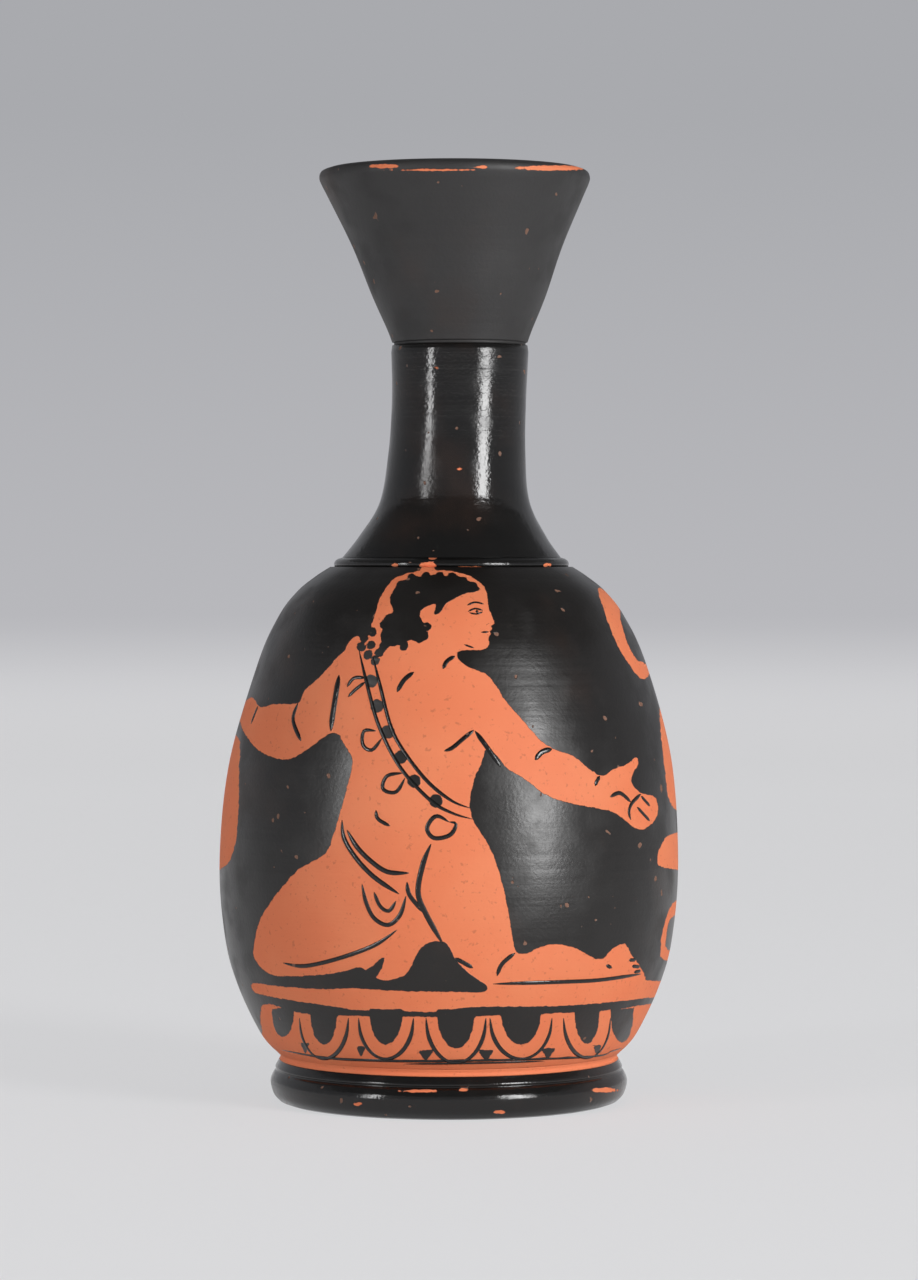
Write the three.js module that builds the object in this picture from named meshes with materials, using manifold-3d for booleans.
// A miniature lekythos: a squat Greek oil flask of fired clay, 110 mm tall.
// It was thrown in sections on the wheel (foot, body, neck and mouth), given a pulled strap handle,
// and joined with soft clay, which shows as small mouldings between the sections.
//
// Units are millimetres and +Z is up. The origin is the centre of the foot's resting face.
// The painted front faces -Y, so the handle is on the +Y side.
import * as THREE from 'three';
import { mergeVertices } from 'three/addons/utils/BufferGeometryUtils.js';
import Module from 'manifold-3d';

// Heights of the joints above the table
const FOOT_TOP = 5.0;
const BODY_EDGE = 5.8;
const BODY_TOP = 63.1;
const COLLAR_TOP = 64.2;
const NECK_TOP = 89.2;
const MOUTH_BOTTOM = 89.6;
const LIP_TOP = 110.0;

// Radii where one section meets the next
const RESTING_RADIUS = 19.4;
const FOOT_TOP_RADIUS = 20.05;
const WAIST_RADIUS = 19.9;
const BODY_EDGE_RADIUS = 20.2;
const SHOULDER_SEAT_RADIUS = 14.3;
const COLLAR_RADIUS = 13.8;
const NECK_BASE_RADIUS = 12.9;
const NECK_TOP_RADIUS = 8.1;
const MOUTH_BOTTOM_RADIUS = 8.0;

// Insides
const FOOT_RING_INNER_RADIUS = 14.6;
const FOOT_RECESS_HEIGHT = 2.2;
const LUTING_INNER_RADIUS = 16.5;
const SPIGOT_RADIUS = 6.6;
const BORE_RADIUS = 5.0;
const BODY_HOLE_RADIUS = 5.8;
const BODY_HOLE_DEPTH = 3.2;
const FLOOR_TOP = 8.6;
const SEAM_DEPTH = 0.2;

// Outlines, as [radius, height] points that a smooth curve runs through, from the bottom up.
// The foot has a rounded edge, widest at 2.4 mm, and one groove above it.
const FOOT_SIDE = [
  [20.1, 0.25],
  [20.75, 1.0],
  [21.1, 2.4],
  [20.75, 3.4],
  [20.4, 3.8],
  [20.5, 4.15],
  [FOOT_TOP_RADIUS, FOOT_TOP],
];

// The body is an egg with its widest part low, at 28.5 mm.
const BODY_SIDE = [
  [BODY_EDGE_RADIUS, BODY_EDGE],
  [22.25, 8.1],
  [24.95, 13.8],
  [26.45, 19.5],
  [27.1, 28.5],
  [26.1, 40.3],
  [22.9, 51.8],
  [20.4, 57.3],
  [18.2, 60.2],
  [16.0, 62.0],
  [SHOULDER_SEAT_RADIUS, BODY_TOP],
];

// Its hollow follows the outside at a wall of about 2.5 mm, from the hole down to the floor.
const BODY_HOLLOW = [
  [BODY_HOLE_RADIUS, BODY_TOP - BODY_HOLE_DEPTH],
  [14.5, 59.6],
  [18.4, 55.2],
  [23.0, 42.0],
  [24.6, 28.5],
  [22.6, 15.0],
  [18.0, FLOOR_TOP + 0.8],
  [9.0, FLOOR_TOP],
  [0, FLOOR_TOP],
];

// The neck flares out at its foot and is narrowest at 82.5 mm.
const NECK_SIDE = [
  [NECK_BASE_RADIUS, COLLAR_TOP],
  [11.0, 66.8],
  [8.85, 70.8],
  [8.1, 76.5],
  [7.93, 82.5],
  [NECK_TOP_RADIUS, 88.4],
];

// The mouth is a funnel that ends in a rounded lip.
const MOUTH_SIDE = [
  [MOUTH_BOTTOM_RADIUS, MOUTH_BOTTOM],
  [8.6, 91.2],
  [10.3, 95.2],
  [12.4, 100.9],
  [15.0, 106.6],
  [15.75, 108.2],
  [15.97, 108.95],
  [15.7, 109.65],
  [14.8, LIP_TOP],
];

const MOUTH_CUP = [
  [13.4, 109.4],
  [12.6, 107.0],
  [10.2, 101.2],
  [7.7, 96.2],
  [BORE_RADIUS, 92.5],
];

// The flask was made by hand and doesn't stand quite straight. Its centreline runs through these
// [height, sideways shift] points: the neck leans to the right and the mouth comes back.
const CENTRELINE = [
  [0, 0],
  [28, 0],
  [48, 0.35],
  [BODY_TOP, 0.3],
  [72, 0.75],
  [NECK_TOP, 1.3],
  [LIP_TOP, 0.65],
];

// Strap handle, as [distance behind the axis, height] points on its middle line
const HANDLE_WIDTH = 9.4;
const HANDLE_THICKNESS = 3.6;
const HANDLE_ROOT_HEIGHT = 83.0;
const HANDLE_LINE = [
  [6.6, HANDLE_ROOT_HEIGHT],
  [10.6, 84.9],
  [14.0, 84.8],
  [16.7, 81.8],
  [17.6, 76.5],
  [17.7, 70.0],
  [17.3, 64.5],
  [17.0, 59.8],
];

// Clay pads at the handle's ends: middle behind the axis, middle height, and half sizes
const UPPER_PAD = { behind: 8.4, height: 83.6, half: [6.0, 2.6, 3.5] };
const LOWER_PAD = { behind: 17.0, height: 61.0, half: [6.3, 3.7, 2.6] };

// Clearance between a piece and the neighbour that trims it
const TRIM_GAP = 0.3;

// Fineness of the meshes
const ROUND_SEGMENTS = 48;
const HANDLE_STEPS = 26;
const HANDLE_CURVE_SEGMENTS = 8;
const PAD_SEGMENTS = [24, 14];

const wasm = await Module();
wasm.setup();

const CLAY = new THREE.Color().setRGB(0.78, 0.4, 0.25, THREE.SRGBColorSpace);
const BLACK_GLOSS = new THREE.Color().setRGB(0.09, 0.085, 0.08, THREE.SRGBColorSpace);

const slip = (roughness) => new THREE.MeshStandardMaterial({ color: BLACK_GLOSS, roughness, metalness: 0 });
const glossy = () => slip(0.22);
const satin = () => slip(0.42);
const worn = () => slip(0.6);
const bareClay = () => new THREE.MeshStandardMaterial({ color: CLAY, roughness: 0.75, metalness: 0 });

const at = (radius, height) => new THREE.Vector2(radius, height);

// A smooth curve through a list of points, with two straight steps to each stretch.
const smooth = (points) =>
  new THREE.SplineCurve(points.map(([a, b]) => at(a, b))).getPoints(2 * (points.length - 1));

const centrelineSteps = new THREE.SplineCurve(CENTRELINE.map(([a, b]) => at(a, b))).getPoints(400);

// Sideways shift of the centreline at a height.
function leanAt(height) {
  const above = centrelineSteps.findIndex((step) => step.x >= height);
  if (above < 1) {
    return above === 0 ? 0 : centrelineSteps.at(-1).y;
  }
  const low = centrelineSteps[above - 1];
  const high = centrelineSteps[above];
  return THREE.MathUtils.mapLinear(height, low.x, high.x, low.y, high.y);
}

// Move every vertex sideways with the centreline.
function lean(geometry) {
  const position = geometry.attributes.position;
  for (let i = 0; i < position.count; i += 1) {
    position.setX(i, position.getX(i) + leanAt(position.getZ(i)));
  }
  geometry.computeVertexNormals();
  return geometry;
}

// Turn an outline of radii and heights on the wheel, about +Z.
const turned = (outline) => lean(new THREE.LatheGeometry(outline, ROUND_SEGMENTS).rotateX(Math.PI / 2));

// Close an outline on itself, for a piece with a hole through it.
const closed = (outline) => [...outline, outline[0].clone()];

// Ring foot, hollowed underneath.
function foot() {
  return turned([
    at(0, FOOT_RECESS_HEIGHT),
    at(9, FOOT_RECESS_HEIGHT - 0.2),
    at(FOOT_RING_INNER_RADIUS - 0.8, FOOT_RECESS_HEIGHT / 2),
    at(FOOT_RING_INNER_RADIUS, 0),
    at(RESTING_RADIUS, 0),
    ...smooth(FOOT_SIDE),
    at(0, FOOT_TOP),
  ]);
}

// Roll of clay in the waist between foot and body.
function footLuting() {
  return turned(closed([
    at(LUTING_INNER_RADIUS, FOOT_TOP),
    at(FOOT_TOP_RADIUS, FOOT_TOP),
    at(WAIST_RADIUS, (FOOT_TOP + BODY_EDGE) / 2),
    at(BODY_EDGE_RADIUS, BODY_EDGE),
    at(LUTING_INNER_RADIUS, BODY_EDGE),
  ]));
}

// Hollow egg-shaped body, open at the top under the neck, with a low boss that stands on the foot.
function body() {
  return turned([
    at(0, FOOT_TOP),
    at(LUTING_INNER_RADIUS, FOOT_TOP),
    at(LUTING_INNER_RADIUS, BODY_EDGE),
    ...smooth(BODY_SIDE),
    at(BODY_HOLE_RADIUS, BODY_TOP),
    ...smooth(BODY_HOLLOW),
  ]);
}

// Moulded ring over the joint of neck and shoulder.
function neckCollar() {
  return turned(closed([
    at(NECK_BASE_RADIUS, BODY_TOP),
    at(COLLAR_RADIUS, BODY_TOP),
    at(COLLAR_RADIUS + 0.05, BODY_TOP + 0.45),
    at(COLLAR_RADIUS - 0.3, COLLAR_TOP - 0.2),
    at(NECK_BASE_RADIUS, COLLAR_TOP),
  ]));
}

// Neck: a tube that flares out at its foot, with the bore through it.
function neck() {
  return turned(closed([
    at(BORE_RADIUS, BODY_TOP),
    at(NECK_BASE_RADIUS, BODY_TOP),
    ...smooth(NECK_SIDE),
    at(NECK_TOP_RADIUS - SEAM_DEPTH / 2, NECK_TOP),
    at(BORE_RADIUS, NECK_TOP),
  ]));
}

// Thin seam of clay between neck and mouth, a little sunk.
function mouthLuting() {
  return turned(closed([
    at(SPIGOT_RADIUS, NECK_TOP),
    at(MOUTH_BOTTOM_RADIUS - SEAM_DEPTH, NECK_TOP),
    at(MOUTH_BOTTOM_RADIUS - SEAM_DEPTH, MOUTH_BOTTOM),
    at(SPIGOT_RADIUS, MOUTH_BOTTOM),
  ]));
}

// Funnel mouth with a rounded lip. A short spigot under it stands on the neck.
function mouth() {
  return turned(closed([
    at(BORE_RADIUS, NECK_TOP),
    at(SPIGOT_RADIUS, NECK_TOP),
    at(SPIGOT_RADIUS, MOUTH_BOTTOM),
    ...smooth(MOUTH_SIDE),
    ...smooth(MOUTH_CUP),
  ]));
}

// A geometry as a solid that can be cut, and a solid as a geometry again.
function toSolid(geometry) {
  const bare = geometry.clone();
  bare.deleteAttribute('normal');
  bare.deleteAttribute('uv');
  const merged = mergeVertices(bare, 1e-4);
  return new wasm.Manifold(new wasm.Mesh({
    numProp: 3,
    vertProperties: new Float32Array(merged.attributes.position.array),
    triVerts: new Uint32Array(merged.index.array),
  }));
}

function toGeometry(solid) {
  const mesh = solid.getMesh();
  const geometry = new THREE.BufferGeometry();
  geometry.setAttribute('position', new THREE.BufferAttribute(new Float32Array(mesh.vertProperties), 3));
  geometry.setIndex(new THREE.BufferAttribute(new Uint32Array(mesh.triVerts), 1));
  geometry.computeVertexNormals();
  return geometry;
}

// The filled outside of body, collar and neck, grown by the trim gap. It trims the handle's pieces.
function trimmingCore() {
  const ceiling = BODY_TOP + TRIM_GAP;
  const grownBody = smooth(BODY_SIDE).map((point) =>
    at(point.x + TRIM_GAP, Math.min(point.y + TRIM_GAP, ceiling)));
  const grownNeck = smooth(NECK_SIDE).slice(1).map((point) => at(point.x + TRIM_GAP, point.y));
  return toSolid(turned([
    at(0, BODY_EDGE),
    ...grownBody,
    at(COLLAR_RADIUS + 2 * TRIM_GAP, ceiling),
    at(COLLAR_RADIUS + TRIM_GAP, COLLAR_TOP),
    ...grownNeck,
    at(NECK_TOP_RADIUS + TRIM_GAP, NECK_TOP),
    at(0, NECK_TOP),
  ]));
}

// A strap of flattened oval section along the handle's line, grown all round by an amount.
function strap(growth) {
  const middle = leanAt(HANDLE_ROOT_HEIGHT);
  const line = HANDLE_LINE.map(([behind, height]) => new THREE.Vector3(middle, behind, height));
  const section = new THREE.Shape();
  section.absellipse(0, 0, HANDLE_WIDTH / 2 + growth, HANDLE_THICKNESS / 2 + growth, 0, 2 * Math.PI);
  return toSolid(new THREE.ExtrudeGeometry(section, {
    steps: HANDLE_STEPS,
    curveSegments: HANDLE_CURVE_SEGMENTS,
    bevelEnabled: false,
    extrudePath: new THREE.CatmullRomCurve3(line),
  }));
}

// An oval lump of clay at a joint.
function pad({ behind, height, half }) {
  const lump = new THREE.SphereGeometry(1, ...PAD_SEGMENTS);
  lump.scale(...half);
  lump.translate(leanAt(HANDLE_ROOT_HEIGHT), behind, height);
  return toSolid(lump);
}

const core = trimmingCore();
const handleRoom = strap(TRIM_GAP);
const handle = strap(0).subtract(core);
const upperPad = pad(UPPER_PAD).subtract(core).subtract(handleRoom);
const lowerPad = pad(LOWER_PAD).subtract(core).subtract(handleRoom);

function node(name, geometry, material) {
  const mesh = new THREE.Mesh(geometry, material);
  mesh.name = name;
  return mesh;
}

const lekythos = new THREE.Group();
lekythos.add(
  node('foot', foot(), glossy()),
  node('foot_luting', footLuting(), bareClay()),
  node('body', body(), satin()),
  node('neck_collar', neckCollar(), glossy()),
  node('neck', neck(), glossy()),
  node('mouth_luting', mouthLuting(), worn()),
  node('mouth', mouth(), worn()),
  node('handle', toGeometry(handle), glossy()),
  node('handle_upper_luting', toGeometry(upperPad), glossy()),
  node('handle_lower_luting', toGeometry(lowerPad), glossy()),
);

export default lekythos;
